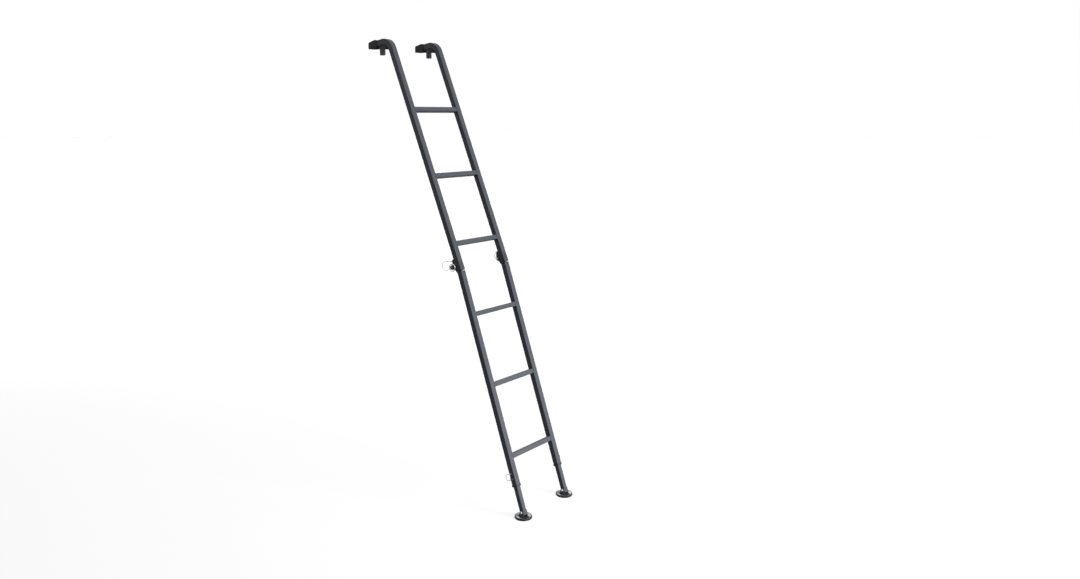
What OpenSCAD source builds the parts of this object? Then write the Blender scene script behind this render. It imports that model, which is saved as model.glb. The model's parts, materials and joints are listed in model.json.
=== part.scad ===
// Folding aluminium ladder that hooks over a vehicle's roof rack.
// Two three-rung halves are joined by hinges behind the rails, and square legs
// telescope out of the lower rails and stand on swivelling round feet.
// X runs along the rungs, Y points at the vehicle and Z points up.
// The origin is on the flat underside of the left hook's rubber boot.

/* [Rails] */
// Outside width and depth of the square rail tube
rail_size = 25; // [22:1:32]
// Wall of the rail tube
rail_wall = 2; // [1.6:0.1:2.2]
// Corner radius of the rail tube
rail_round = 1.5; // [0.8:0.1:1.5]
// Distance between the centres of the two rails
rail_pitch = 275; // [240:5:400]
// Lean of the upper half from the vertical, in degrees
upper_lean = 23.2; // [20:0.2:27]
// Lean of the lower half from the vertical, in degrees
lower_lean = 19.4; // [16:0.2:20]

/* [Rungs] */
// Height of a rung's face
rung_height = 20; // [16:1:24]
// Depth of a rung from front to back
rung_depth = 22; // [16:1:22]
// Wall of the rung tube
rung_wall = 1.6; // [1.2:0.1:2.4]
// Distance that the rung fronts sit behind the rail fronts
rung_setback = 1.5; // [0:0.5:3]
// Corner radius of a rung
rung_round = 2.5; // [1:0.5:4]
// Number of grooves along a rung's tread
groove_count = 5; // [3:1:5]
// Distance from one groove to the next
groove_pitch = 3; // [2.5:0.25:3.25]
// Width of a groove
groove_w = 1.2; // [0.8:0.1:1.6]
// Depth of a groove
groove_depth = 0.6; // [0.3:0.1:0.8]
// Distance from one rung to the next
rung_spacing = 300; // [250:5:320]
// Third rung's height above the hinge pin
third_rung_rise = 93; // [80:1:110]
// Fourth rung's drop below the hinge pin
fourth_rung_drop = 210; // [190:1:230]

/* [Hinge] */
// Distance of the hinge pin behind the rails' back faces
pin_back = 11; // [10.5:0.5:16]
// Diameter of the hinge pin's shank
pin_d = 8; // [6:0.5:9]
// Height of the upper knuckle above the pin
block_above = 18; // [14:1:24]
// Drop of the upper knuckle below the pin
block_below = 22; // [20:1:30]
// Gap between the two knuckles with the ladder pulled straight
butt_gap = 0.4; // [0.3:0.1:1]
// Outside radius of the ears and of the tongue's eye
eye_r = 9; // [7:0.5:10]
// Thickness of one ear of the upper knuckle
ear_t = 6; // [4:0.5:7]
// Side gap between an ear and the tongue
ear_gap = 0.5; // [0.3:0.1:1]
// Height of the ears above the pin
ear_rise = 32; // [26:1:40]
// Drop of the ears below the pin
ear_drop = 14; // [11:1:16]
// Distance that an ear's top stands out behind the rail
ear_top = 7; // [4:0.5:8]
// Thickness of the ledge that the lower rail butts against
ledge_t = 4; // [3:0.5:6]
// Depth of the tongue's heel behind the lower rail's back
heel_depth = 3; // [2:0.5:5]
// Length of that heel below the knuckle's butt face
heel_length = 14; // [8:1:24]
// Depth that a knuckle's plug goes into its rail
plug_length = 98; // [60:1:120]

/* [Quick release pins] */
// Diameter of a hinge pin's knob
knob_d = 18; // [16:0.5:22]
// Length of the hinge pin's knob and collar
knob_length = 14; // [12.5:0.5:18]
// Distance that the hinge pin's nose stands proud of the far ear
pin_proud = 5; // [3:0.5:8]
// Distance of the pull ring from the ear
ring_reach = 9; // [7.5:0.25:9.5]
// Outside diameter of the pull ring
ring_d = 34; // [28:1:40]
// Wire diameter of the pull ring
ring_wire = 3.5; // [2:0.25:4]
// Diameter of the bar that crosses the ring through the knob
ring_bar_d = 3; // [1.5:0.25:3.25]
// Diameter of the leg pin's shank
leg_pin_d = 6; // [5:0.5:8]
// Diameter of the leg pin's knob
leg_knob_d = 14; // [12:0.5:16]
// Length of the leg pin's knob and collar
leg_knob_length = 9; // [7.5:0.5:14]
// Leg pin's height above the lower rail's open end
leg_pin_rise = 26; // [25:1:60]
// Step from a knob's rim in to its collar
knob_step = 2; // [1:0.5:3]
// Length of the collar between a knob and its rail
collar_length = 3.5; // [2:0.5:4]
// Diameter of the studs that hold the lanyards
stud_d = 5; // [4:0.5:6]
// Distance that a stud stands proud
stud_proud = 3; // [2:0.5:3]
// Leg lanyard stud's height above the leg pin
stud_rise = 22; // [18:1:30]
// Diameter of the wire lanyards
wire_d = 1.6; // [1:0.2:2.4]

/* [Hooks] */
// Length of straight rail above the top rung's middle, up to the bend
rail_head = 281; // [250:1:320]
// Depth that the hook's plug goes into the rail
hook_plug = 60; // [40:1:90]
// Outside radius of the hook's bend
hook_r = 62; // [58:1:70]
// Slope of the hook's arm down toward the vehicle, in degrees
arm_slope = 8.6; // [6:0.2:10]
// Reach from the middle of the bend to the middle of the boot
seat_reach = 67; // [62:1:75]
// Drop from the bend's crown to the boot's flat underside
seat_drop = 41; // [40:0.5:46]
// Length of the rubber boot
boot_length = 50; // [40:1:60]
// Width of the rubber boot
boot_width = 33; // [30:1:38]
// Rubber above the tube in the boot
boot_cover = 2.5; // [2:0.5:6]
// Rubber past the tube's end in the boot
boot_end = 3; // [2:0.5:6]
// Upper corner radius of the boot
boot_round = 9; // [4:1:12]
// Lower corner radius of the boot
boot_low_round = 4; // [2:0.5:6]
// Distance of the lug's bearing face from the middle of the bend
lug_reach = 29; // [24:1:34]
// Depth of the lug that bears on the side of the rack
lug_depth = 22; // [14:1:22]
// Width of the lug
lug_width = 13; // [8:1:20]
// Drop of the lug's tip below the boot's underside
lug_drop = 28; // [20:1:40]
// Diameter of the round bumper under the bend
bumper_d = 21; // [14:1:24]
// Distance of the bumper's middle below the tube
bumper_drop = 8.4; // [6:0.1:12]
// Place of the bumper round the bend, in degrees above the level
bumper_angle = 109; // [100:1:125]

/* [Legs] */
// Length of lower rail below the sixth rung's middle
rail_tail = 114; // [100:1:140]
// Height of the guide bush below the rail's end
bush_h = 8; // [5:1:14]
// Distance that the bush stands proud of the rail
bush_proud = 1.6; // [0.5:0.1:2]
// Play between the leg and each inside wall of the lower rail
leg_play = 0.5; // [0.5:0.1:2]
// Wall of the leg tube
leg_wall = 1.8; // [1.4:0.1:2.4]
// Distance from the lower rail's open end to the ankle bolt
leg_reach = 114; // [112:1:170]
// Length of the leg tube
leg_length = 450; // [380:5:480]
// Corner radius of the leg tube
leg_round = 1.2; // [0.6:0.1:1.5]
// Length of leg below the ankle bolt
leg_tip = 12; // [10:0.5:12]
// Length of the plug in the leg's lower end
leg_plug = 36; // [28:1:50]
// Extra width of a lock hole over the pin
hole_play = 0.6; // [0.4:0.1:1]
// Distance between the leg's lock holes
hole_pitch = 45; // [38:1:52]
// Number of lock holes below the leg pin
holes_below = 2; // [1:1:2]
// Number of lock holes above the leg pin
holes_above = 5; // [3:1:5]
// Clearance of the leg inside the bush, on each side
slide_gap = 0.4; // [0.3:0.05:0.5]

/* [Feet] */
// Height of the ankle bolt above the ground
ankle_height = 24; // [24:1:34]
// Diameter of the foot's dish
foot_d = 72; // [66:1:90]
// Thickness of the dish's metal
dish_t = 2; // [1.6:0.1:2]
// Height of the dish's rim above its floor
rim_h = 4; // [3.5:0.5:7]
// Corner radius under the dish's edge
dish_round = 3; // [1:0.5:3]
// Run of the slope inside the rim
rim_slope = 5; // [2:0.5:8]
// Thickness of the fork's base on the dish
base_t = 2; // [1.5:0.1:2]
// Length of the fork's base
base_length = 38; // [30:1:40]
// Corner radius of the fork's base
base_round = 5; // [2:0.5:8]
// Flare of the fork's foot on each side
fork_flare = 4; // [0:0.5:6]
// Rubber of the sole round the dish's side
sole_wrap = 2; // [1:0.5:3]
// Thickness of the rubber sole
sole_t = 2.5; // [1.5:0.1:2.5]
// Diameter of the ankle bolt
bolt_d = 6; // [5:0.5:8]
// Outside radius of the fork's eyes
ankle_r = 9; // [7:0.5:10]
// Thickness of one side of the foot's fork
fork_t = 3; // [2.5:0.5:4]
// Side gap between the leg and the fork
fork_gap = 0.4; // [0.3:0.05:0.6]
// Diameter of the bolt's head
bolt_head = 11; // [9:0.5:12]
// Height of the bolt's head
bolt_head_h = 4; // [3:0.5:5]
// Height of the bolt's nut
bolt_nut_h = 5; // [4:0.5:6]

/* [Hidden] */
$fn = 64;
over = 1;
run_gap = 0.08;
snug = 0.1;
tuck = 0.02;
lift = 0.3;
edge = 1;
plug_run = 10;
corner_steps = 6;
wire_sides = 8;
inside = rail_size - 2 * rail_wall;
leg_size = inside - 2 * leg_play;
front = -(pin_back + rail_size);
middle = -(pin_back + rail_size / 2);
back = -pin_back;
tongue_t = rail_size - 2 * (ear_t + ear_gap);
rail_top = third_rung_rise + 2 * rung_spacing + rail_head;
rail_drop = fourth_rung_drop + 2 * rung_spacing + rail_tail;
ankle_drop = rail_drop + leg_reach;

// The bend's middle, seen from the hinge pin in the upper half's own directions
bend_y = front + hook_r;
inner_r = hook_r - rail_size;
seat_rise = hook_r - seat_drop;
turn = 90 - upper_lean + arm_slope;
arm_length = (seat_reach + boot_length / 2 - boot_end - hook_r * sin(arm_slope)) / cos(arm_slope);

// A point of a leaning half, in level directions
function lean(y, z, a) = [y * cos(a) + z * sin(a), z * cos(a) - y * sin(a)];
bend_at = lean(bend_y, rail_top, upper_lean);
pin_y = -bend_at[0] - seat_reach;
pin_z = -bend_at[1] - seat_rise;
ankle_at = lean(middle, -ankle_drop, lower_lean);
// The point where a line from p touches a circle of radius r round the origin
function touch(p, r, side) = let (a = atan2(p[1], p[0]) + side * acos((r - tuck) / norm(p)))
    (r - tuck) * [cos(a), sin(a)];

// Route of a hinge lanyard from the stud on the ear to the knob,
// outward from the rail's middle, back from the pin and up from the pin
hinge_route = [
    [15.5, -4, 25], [17, -4, 25], [20.8, -3, 25.2], [23.5, -0.2, 26.2], [24.6, 4, 27.6],
    [25.2, 14, 31.5], [25.8, 27, 34.5], [26.4, 40, 33], [27, 48, 25], [27.8, 49, 14],
    [29, 42, 4], [31, 31, -1.5], [34, 18, -4], [35.4, 8, -3], [34.4, 4, -1.5],
    [31.8, 1, -0.4], [28, 0, 0], [26.5, 0, 0]];
// Route of a leg lanyard from the stud on the rail to the leg pin's knob
leg_route = [
    [15.5, -23.5, -876], [17, -23.5, -876], [20.8, -22.5, -875.8], [23.5, -19.8, -875.3],
    [24.6, -16, -875], [25, -10, -875.6], [25.5, -5, -879], [26, -2.6, -885],
    [26.6, -3.4, -892], [28, -8, -897], [30, -13, -899], [30.4, -16.5, -899],
    [29.4, -20, -898.6], [26.8, -22.6, -898.2], [23, -23.5, -898], [21.5, -23.5, -898]];
wire_steps = 2;

module rail_colour() { color([0.13, 0.14, 0.16]) children(); }
module rubber_colour() { color([0.04, 0.04, 0.045]) children(); }
module steel_colour() { color([0.72, 0.73, 0.75]) children(); }
module cast_colour() { color([0.08, 0.085, 0.09]) children(); }

// Turns a drawing in Y and Z into a solid that is centred across the rail
module across(width) {
    rotate([90, 0, 90]) linear_extrude(width, center = true) children();
}
// Sets a piece on a rail's middle plane, with X pointing outward
module on_side(side) {
    mirror([side == "left" ? 1 : 0, 0, 0]) translate([rail_pitch / 2, 0, 0]) children();
}
// The left rail's middle plane passes through the origin
module placed(y, z) { translate([rail_pitch / 2, y, z]) children(); }
module upper_half() { placed(pin_y, pin_z) rotate([-upper_lean, 0, 0]) children(); }
module lower_half() { placed(pin_y, pin_z) rotate([-lower_lean, 0, 0]) children(); }
module at_bend() {
    placed(pin_y + bend_at[0], pin_z + bend_at[1]) children();
}
module at_ankle() {
    placed(pin_y + ankle_at[0], pin_z + ankle_at[1]) children();
}
// A round bar or hole across the rail, from x0 to x1
module bar_x(d, x0, x1) { translate([x0, 0, 0]) rotate([0, 90, 0]) cylinder(d = d, h = x1 - x0); }
// A turned piece along X, from a list of radius and place
module turned(profile) { rotate([0, 90, 0]) rotate_extrude() polygon([for (p = profile) [p[0], p[1]]]); }
module rounded_rect(w, h, r) {
    square([w, h - 2 * r], center = true);
    square([w - 2 * r, h], center = true);
    for (x = [-1, 1], y = [-1, 1]) translate([x * (w / 2 - r), y * (h / 2 - r)]) circle(r);
}
// A square bar that stands along the rail between two heights
module post(size, low, high) {
    translate([-size / 2, middle - size / 2, low]) cube([size, size, high - low]);
}
module rounded_post(size, low, high, r) {
    translate([0, middle, low]) linear_extrude(high - low) rounded_rect(size, size, r);
}

module rail(low, high) {
    difference() {
        rounded_post(rail_size, low, high, rail_round);
        post(inside, low - over, high + over);
    }
}
module upper_rail(side) {
    rail_colour() upper_half() on_side(side) rail(block_above, rail_top);
}
module lower_rail(side) {
    rail_colour() lower_half() on_side(side) difference() {
        rail(-rail_drop, -block_below - butt_gap - ledge_t);
        translate([0, middle, -rail_drop + leg_pin_rise]) bar_x(leg_pin_d + 2 * run_gap, 0, rail_size);
    }
}

// Extruded rung with a grooved tread
module rung(z) {
    groove_span = (groove_count - 1) * groove_pitch;
    rail_colour() translate([0, front + rung_setback + rung_depth / 2, z])
        across(rail_pitch - rail_size) difference() {
            rounded_rect(rung_depth, rung_height, rung_round);
            rounded_rect(rung_depth - 2 * rung_wall, rung_height - 2 * rung_wall,
                max(rung_round - rung_wall, edge / 2));
            for (y = [-groove_span / 2 : groove_pitch : groove_span / 2])
                translate([y - groove_w / 2, rung_height / 2 - groove_depth]) square([groove_w, over]);
        }
}

// Section of the square tube, on end
module section() {
    difference() {
        rounded_rect(rail_size, rail_size, rail_round);
        square(inside, center = true);
    }
}
// The arm's directions: level with the tube's straight end, from the middle of the bend
module at_arm() { at_bend() rotate([-arm_slope, 0, 0]) children(); }
module along_arm() {
    translate([0, 0, hook_r - rail_size / 2]) rotate([-90, 0, 0]) linear_extrude(arm_length) children();
}
// Hook: plug in the rail, bent tube, sloping arm and the lug that bears on the rack's side
module hook(side) {
    low = seat_rise - lug_drop;
    near = lug_reach - lug_depth;
    chamfer = 3 * edge;
    rail_colour() {
        upper_half() on_side(side) {
            post(inside - 2 * snug, rail_top - hook_plug, rail_top + plug_run / 2);
            post(inside + 2 * lift, rail_top + over, rail_top + plug_run);
        }
        at_arm() on_side(side) {
            rotate([90, 0, 90]) rotate([0, 0, 90]) rotate_extrude(angle = turn)
                translate([hook_r - rail_size / 2, 0]) section();
            along_arm() section();
        }
        at_bend() on_side(side) across(lug_width) polygon([
            [near, under_arm(near)], [near, low + chamfer], [near + chamfer, low],
            [lug_reach - chamfer, low], [lug_reach, low + chamfer], [lug_reach, under_arm(lug_reach)]]);
    }
}
// Height of the middle of the arm's lower wall, in level directions
function under_arm(y) = (inner_r + rail_wall / 2) / cos(arm_slope) - y * tan(arm_slope);

// Round rubber bumper seated in the inside of the bend
module hook_bumper(side) {
    rubber_colour() at_bend() on_side(side) across(rail_size - 2 * edge) intersection() {
        circle(inner_r);
        rotate(bumper_angle) translate([inner_r - bumper_drop, 0]) {
            circle(d = bumper_d);
            translate([0, -bumper_d / 2 + edge]) square([inner_r, bumper_d - 2 * edge]);
        }
    }
}

// Corner points of a rounded box with a sloping top
function corner(y, z, r, a) = [for (i = [0:corner_steps])
    let (b = a + 90 * i / corner_steps) [y + r * cos(b), z + r * sin(b)]];
function rounded(y0, z0, y1, near_top, far_top, low_r, r) = concat(
    corner(y1 - r, far_top - r, r, 0), corner(y0 + r, near_top - r, r, 90),
    corner(y0 + low_r, z0 + low_r, low_r, 180), corner(y1 - low_r, z0 + low_r, low_r, 270));

// Rubber boot over the arm's end, flat underneath
module hook_boot(side) {
    near = seat_reach - boot_length / 2;
    far = near + boot_length;
    function top(y) = (hook_r + boot_cover) / cos(arm_slope) - y * tan(arm_slope);
    rubber_colour() difference() {
        at_bend() on_side(side) across(boot_width)
            polygon(rounded(near, seat_rise, far, top(near), top(far), boot_low_round, boot_round));
        at_arm() on_side(side) along_arm() rounded_rect(rail_size, rail_size, rail_round);
    }
}

// Upper knuckle: plug, block flush with the rail, and two ears behind it for the hinge pin
module upper_knuckle(side) {
    high = [back + ear_top, ear_rise];
    low = [back, -ear_drop];
    cast_colour() upper_half() on_side(side) {
        post(inside - 2 * snug, 0, block_above + plug_length);
        rounded_post(rail_size, -block_below, block_above, rail_round);
        for (x = [-1, 1]) translate([x * (rail_size - ear_t) / 2, 0, 0]) difference() {
            union() {
                across(ear_t) polygon([
                    [back - over, -ear_drop], low, touch(low, eye_r, 1), touch(high, eye_r, -1), high,
                    [back, ear_rise], [back, block_above - over], [back - over, block_above - over]]);
                bar_x(2 * eye_r, -ear_t / 2, ear_t / 2);
            }
            bar_x(pin_d + 2 * run_gap, -ear_t, ear_t);
        }
        translate([rail_size / 2 - over, hinge_route[0][1], hinge_route[0][2]])
            bar_x(stud_d, 0, over + stud_proud);
    }
}

// Lower knuckle: plug, ledge under the butt face, and the tongue between the ears
module lower_knuckle(side) {
    top = -block_below - butt_gap;
    low = [back + heel_depth, top - heel_length + heel_depth];
    cast_colour() lower_half() on_side(side) {
        post(inside - 2 * snug, top - ledge_t - plug_length, top - over);
        rounded_post(rail_size, top - ledge_t, top, rail_round);
        difference() {
            union() {
                across(tongue_t) polygon([
                    [-eye_r + tuck, 0], [-eye_r + tuck, top], [back - over, top],
                    [back - over, top - ledge_t], [back, top - ledge_t], [back, top - heel_length],
                    low, touch(low, eye_r, 1)]);
                bar_x(2 * eye_r, -tongue_t / 2, tongue_t / 2);
            }
            bar_x(pin_d + 2 * run_gap, -tongue_t, tongue_t);
        }
    }
}

// Quick-release pin that the hinge turns on: nose, shank, collar and knob
module hinge_pin(side) {
    face = rail_size / 2;
    knob = face + collar_length;
    end = face + knob_length;
    nose = -face - pin_proud;
    neck_r = knob_d / 2 - knob_step;
    cast_colour() upper_half() on_side(side) difference() {
        turned([
            [0, nose], [pin_d / 2 - edge, nose], [pin_d / 2, nose + edge], [pin_d / 2, face + lift],
            [neck_r, face + lift], [neck_r, knob], [knob_d / 2 - edge, knob], [knob_d / 2, knob + edge],
            [knob_d / 2, end - 3 * edge], [knob_d / 2 - edge, end - edge], [neck_r, end], [0, end]]);
        translate([face + ring_reach, 0, 0])
            cylinder(d = ring_bar_d + 2 * snug, h = 2 * knob_d, center = true);
    }
}
module pull_ring(side) {
    steel_colour() upper_half() on_side(side) translate([rail_size / 2 + ring_reach, 0, 0]) {
        rotate([0, 90, 0]) rotate_extrude() translate([(ring_d - ring_wire) / 2, 0]) circle(d = ring_wire);
        cylinder(d = ring_bar_d, h = ring_d - ring_wire, center = true);
    }
}

// Points of a smooth line through a route, with its ends doubled
function bend_point(a, b, c, d, t) = 0.5 * (2 * b + (c - a) * t
    + (2 * a - 5 * b + 4 * c - d) * t * t + (3 * b - a - 3 * c + d) * t * t * t);
function smooth(route) = let (last = len(route) - 1) concat(
    [for (i = [0:last - 1], k = [0:wire_steps - 1])
        bend_point(route[max(i - 1, 0)], route[i], route[i + 1], route[min(i + 2, last)], k / wire_steps)],
    [route[last]]);
function unit(v) = v / norm(v);
// A ring of points round one point of the line
function ring(line, i) = let (
    last = len(line) - 1,
    ahead = unit(i == 0 || i == last ? [i == 0 ? 1 : -1, 0, 0] : line[i + 1] - line[i - 1]),
    side = unit(cross(ahead, abs(ahead[2]) > 0.95 ? [1, 0, 0] : [0, 0, 1])),
    up = cross(side, ahead))
    [for (k = [0:wire_sides - 1]) let (a = 360 * k / wire_sides)
        line[i] + wire_d / 2 * (cos(a) * side + sin(a) * up)];
module wire(route) {
    line = smooth(route);
    count = len(line);
    n = wire_sides;
    polyhedron(
        points = [for (i = [0:count - 1]) each ring(line, i)],
        faces = concat(
            [[for (k = [0:n - 1]) k]],
            [for (i = [0:count - 2], k = [0:n - 1]) [n * i + k, n * i + n + k, n * i + n + (k + 1) % n]],
            [for (i = [0:count - 2], k = [0:n - 1]) [n * i + k, n * i + n + (k + 1) % n, n * i + (k + 1) % n]],
            [[for (k = [n - 1:-1:0]) n * (count - 1) + k]]));
}
module hinge_lanyard(side) { steel_colour() upper_half() on_side(side) wire(hinge_route); }
module leg_lanyard(side) { steel_colour() lower_half() on_side(side) wire(leg_route); }

// Plastic bush in the open end of a lower rail, which guides the leg
module rail_bush(side) {
    bore = leg_size + 2 * slide_gap;
    rubber_colour() lower_half() on_side(side) difference() {
        rounded_post(rail_size + 2 * bush_proud, -rail_drop - bush_h, -rail_drop, rail_round + bush_proud);
        post(bore, -rail_drop - bush_h - over, -rail_drop + over);
    }
}

// Leg pin: its nose stops just short of the leg, so that the leg is free to slide
module leg_pin(side) {
    face = rail_size / 2;
    knob = face + collar_length;
    end = face + leg_knob_length;
    nose = leg_size / 2 + slide_gap;
    r = leg_knob_d / 2;
    neck_r = r - knob_step;
    cast_colour() lower_half() on_side(side) translate([0, middle, -rail_drop + leg_pin_rise])
        turned([
            [0, nose], [leg_pin_d / 2, nose], [leg_pin_d / 2, face], [neck_r, face], [neck_r, knob],
            [r - edge, knob], [r, knob + edge], [r, end - 2 * edge], [r - 2 * edge, end], [0, end]]);
}
// Stud that holds the other end of the leg pin's lanyard
module lanyard_stud(side) {
    face = rail_size / 2;
    steel_colour() lower_half() on_side(side)
        translate([0, middle, -rail_drop + leg_pin_rise + stud_rise]) bar_x(stud_d, face, face + stud_proud);
}

// Square leg tube with lock holes; the ankle bolt crosses its plugged lower end
module leg(side) {
    tip = -ankle_drop - leg_tip;
    bore = leg_size - 2 * leg_wall;
    pin_height = -rail_drop + leg_pin_rise;
    rail_colour() lower_half() on_side(side) difference() {
        rounded_post(leg_size, tip, tip + leg_length, leg_round);
        post(bore, tip + leg_plug, tip + leg_length + over);
        for (k = [-holes_below : holes_above])
            translate([0, middle, pin_height + k * hole_pitch]) bar_x(leg_pin_d + hole_play, -leg_size, leg_size);
        translate([0, middle, -ankle_drop]) bar_x(bolt_d + 2 * run_gap, -leg_size, leg_size);
    }
}

// Round dished foot with a fork that holds the leg
module foot(side) {
    under = -ankle_height + sole_t;
    floor_z = under + dish_t;
    lip = floor_z + rim_h;
    r = foot_d / 2 - sole_wrap;
    fork_x = leg_size / 2 + fork_gap;
    low = [ankle_r + fork_flare, floor_z + base_t / 2];
    eye = touch(low, ankle_r, 1);
    cast_colour() at_ankle() on_side(side) {
        rotate_extrude() polygon([
            [0, under], [r - dish_round, under], [r, under + dish_round], [r, lip - edge], [r - edge, lip],
            [r - dish_t, lip], [r - dish_t - rim_slope, floor_z], [0, floor_z]]);
        translate([0, 0, floor_z - dish_t / 2]) linear_extrude(base_t + dish_t / 2)
            rounded_rect(2 * (fork_x + fork_t), base_length, base_round);
        for (x = [-1, 1]) translate([x * (fork_x + fork_t / 2), 0, 0]) difference() {
            union() {
                across(fork_t) polygon([[-low[0], low[1]], low, eye, [-eye[0], eye[1]]]);
                bar_x(2 * ankle_r, -fork_t / 2, fork_t / 2);
            }
            bar_x(bolt_d + 2 * run_gap, -fork_t, fork_t);
        }
    }
}
// Rubber sole that wraps round the dish and up its side
module foot_sole(side) {
    under = -ankle_height + sole_t;
    r = foot_d / 2;
    inner = r - sole_wrap;
    lip = under + dish_t + rim_h - edge;
    rubber_colour() at_ankle() on_side(side) rotate_extrude() polygon([
        [0, -ankle_height], [r - edge, -ankle_height], [r, -ankle_height + edge], [r, lip - edge / 2],
        [r - edge / 2, lip], [inner, lip], [inner, under + dish_round], [inner - dish_round, under], [0, under]]);
}
module ankle_bolt(side) {
    reach = leg_size / 2 + fork_gap + fork_t;
    nut_end = -reach - bolt_nut_h;
    head_end = reach + bolt_head_h;
    r = bolt_head / 2;
    steel_colour() at_ankle() on_side(side) turned([
        [0, nut_end], [r - edge, nut_end], [r, nut_end + edge], [r, -reach], [bolt_d / 2, -reach],
        [bolt_d / 2, reach], [r, reach], [r, head_end - 2 * edge], [r - 2 * edge, head_end], [0, head_end]]);
}

upper_rail("left");  // upper_rail_left
upper_rail("right");  // upper_rail_right
hook("left");  // hook_left
hook("right");  // hook_right
hook_bumper("left");  // hook_bumper_left
hook_bumper("right");  // hook_bumper_right
hook_boot("left");  // hook_boot_left
hook_boot("right");  // hook_boot_right
upper_half() rung(third_rung_rise + 2 * rung_spacing);  // top_rung
upper_half() rung(third_rung_rise + rung_spacing);  // second_rung
upper_half() rung(third_rung_rise);  // third_rung
upper_knuckle("left");  // upper_knuckle_left
upper_knuckle("right");  // upper_knuckle_right
hinge_pin("left");  // hinge_pin_left
hinge_pin("right");  // hinge_pin_right
pull_ring("left");  // pull_ring_left
pull_ring("right");  // pull_ring_right
hinge_lanyard("left");  // hinge_lanyard_left
hinge_lanyard("right");  // hinge_lanyard_right
lower_rail("left");  // lower_rail_left
lower_rail("right");  // lower_rail_right
lower_half() rung(-fourth_rung_drop);  // fourth_rung
lower_half() rung(-fourth_rung_drop - rung_spacing);  // fifth_rung
lower_half() rung(-fourth_rung_drop - 2 * rung_spacing);  // sixth_rung
lower_knuckle("left");  // lower_knuckle_left
lower_knuckle("right");  // lower_knuckle_right
rail_bush("left");  // rail_bush_left
rail_bush("right");  // rail_bush_right
leg_pin("left");  // leg_pin_left
leg_pin("right");  // leg_pin_right
lanyard_stud("left");  // lanyard_stud_left
lanyard_stud("right");  // lanyard_stud_right
leg_lanyard("left");  // leg_lanyard_left
leg_lanyard("right");  // leg_lanyard_right
leg("left");  // leg_left
leg("right");  // leg_right
foot("left");  // foot_left
foot("right");  // foot_right
foot_sole("left");  // foot_sole_left
foot_sole("right");  // foot_sole_right
ankle_bolt("left");  // ankle_bolt_left
ankle_bolt("right");  // ankle_bolt_right
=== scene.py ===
# %% [markdown]
# # A folding ladder with hooks at its top
#
# The real ladder is two short halves of black powder-coated aluminium. Bent tube
# hooks with rubber boots carry it from above, two hinges behind the rails let it fold
# up, and square legs slide out of the lower rails and stand on round swivelling feet.
#
# The packed CAD model comes in first and stays where it is. This script gives its
# parts their finishes and adds what a solid model leaves out: wire lanyards, weld
# beads, rivets, moulded rubber and turned plastic.

# %% Load the packed ladder
import json
import math

import bmesh
import bpy
from mathutils import Matrix, Vector


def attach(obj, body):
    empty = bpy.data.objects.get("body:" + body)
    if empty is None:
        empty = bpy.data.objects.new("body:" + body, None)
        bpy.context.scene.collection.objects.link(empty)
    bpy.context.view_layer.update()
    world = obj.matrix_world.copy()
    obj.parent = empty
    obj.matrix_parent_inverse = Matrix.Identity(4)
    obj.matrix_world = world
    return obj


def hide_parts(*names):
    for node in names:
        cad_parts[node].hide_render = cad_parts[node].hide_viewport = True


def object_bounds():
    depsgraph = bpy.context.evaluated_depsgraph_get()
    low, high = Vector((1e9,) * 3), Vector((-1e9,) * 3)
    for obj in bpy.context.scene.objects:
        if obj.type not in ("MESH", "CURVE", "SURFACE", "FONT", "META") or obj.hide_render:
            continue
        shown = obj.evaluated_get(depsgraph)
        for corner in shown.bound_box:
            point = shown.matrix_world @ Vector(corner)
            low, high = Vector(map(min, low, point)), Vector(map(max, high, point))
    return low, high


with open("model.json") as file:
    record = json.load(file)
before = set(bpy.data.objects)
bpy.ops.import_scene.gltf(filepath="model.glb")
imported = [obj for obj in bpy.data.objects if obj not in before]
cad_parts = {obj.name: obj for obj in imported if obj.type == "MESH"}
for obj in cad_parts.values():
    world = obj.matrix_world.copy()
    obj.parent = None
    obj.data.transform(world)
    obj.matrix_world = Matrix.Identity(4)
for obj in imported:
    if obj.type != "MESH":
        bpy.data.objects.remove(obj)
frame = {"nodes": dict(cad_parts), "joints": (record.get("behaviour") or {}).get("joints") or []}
nodes = frame["nodes"]
cad_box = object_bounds()
print("CAD nodes:", len(nodes), "box:", [[round(v, 4) for v in corner] for corner in cad_box])

# %% [markdown]
# ## Where things are
#
# Most of the ladder leans, so its sizes are simple only in its own directions:
# outward from a rail's middle, back from the hinge pin and up from the pin. Each place
# could be worked out by itself, but one matrix per half and side turns those directions
# into the ladder's place in the scene, and every piece is then given in millimetres.
# The left side is the mirror of the right. The hinge pin, the lower half's lean and the
# ankles are read from the packed joints, so they always fit. A rail is 25 mm wide, and
# its middle lies 23.5 mm in front of the pin.

# %% Directions of the two halves
MM = 0.001
UPPER_LEAN = math.radians(23.2)
RAIL_HALF = 12.5
RAIL_BACK = -23.5
joints = {joint["name"]: joint for joint in frame["joints"]}
PIN = Vector(joints["fold"]["pos_m"])
slide = joints["leg_slide_left"]["axis"]
LEAN = {"upper_half": UPPER_LEAN, "lower_half": math.asin(-slide[1])}
SIDES = {"left": -1, "right": 1}


def level_place(y, z, side, lean=0.0):
    """Millimetres outward, back and up from a place on a rail become metres in the scene."""
    return (
        Matrix.Translation((PIN.x * (1 + SIDES[side]), y, z))
        @ Matrix.Rotation(-lean, 4, "X")
        @ Matrix.Diagonal((SIDES[side] * MM, MM, MM, 1))
    )


def half_place(half, side):
    """The same from the hinge pin, for a piece that leans with its half."""
    return level_place(PIN.y, PIN.z, side, LEAN[half])


for half, lean in LEAN.items():
    print(half, "leans", round(math.degrees(lean), 2), "degrees")

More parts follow.
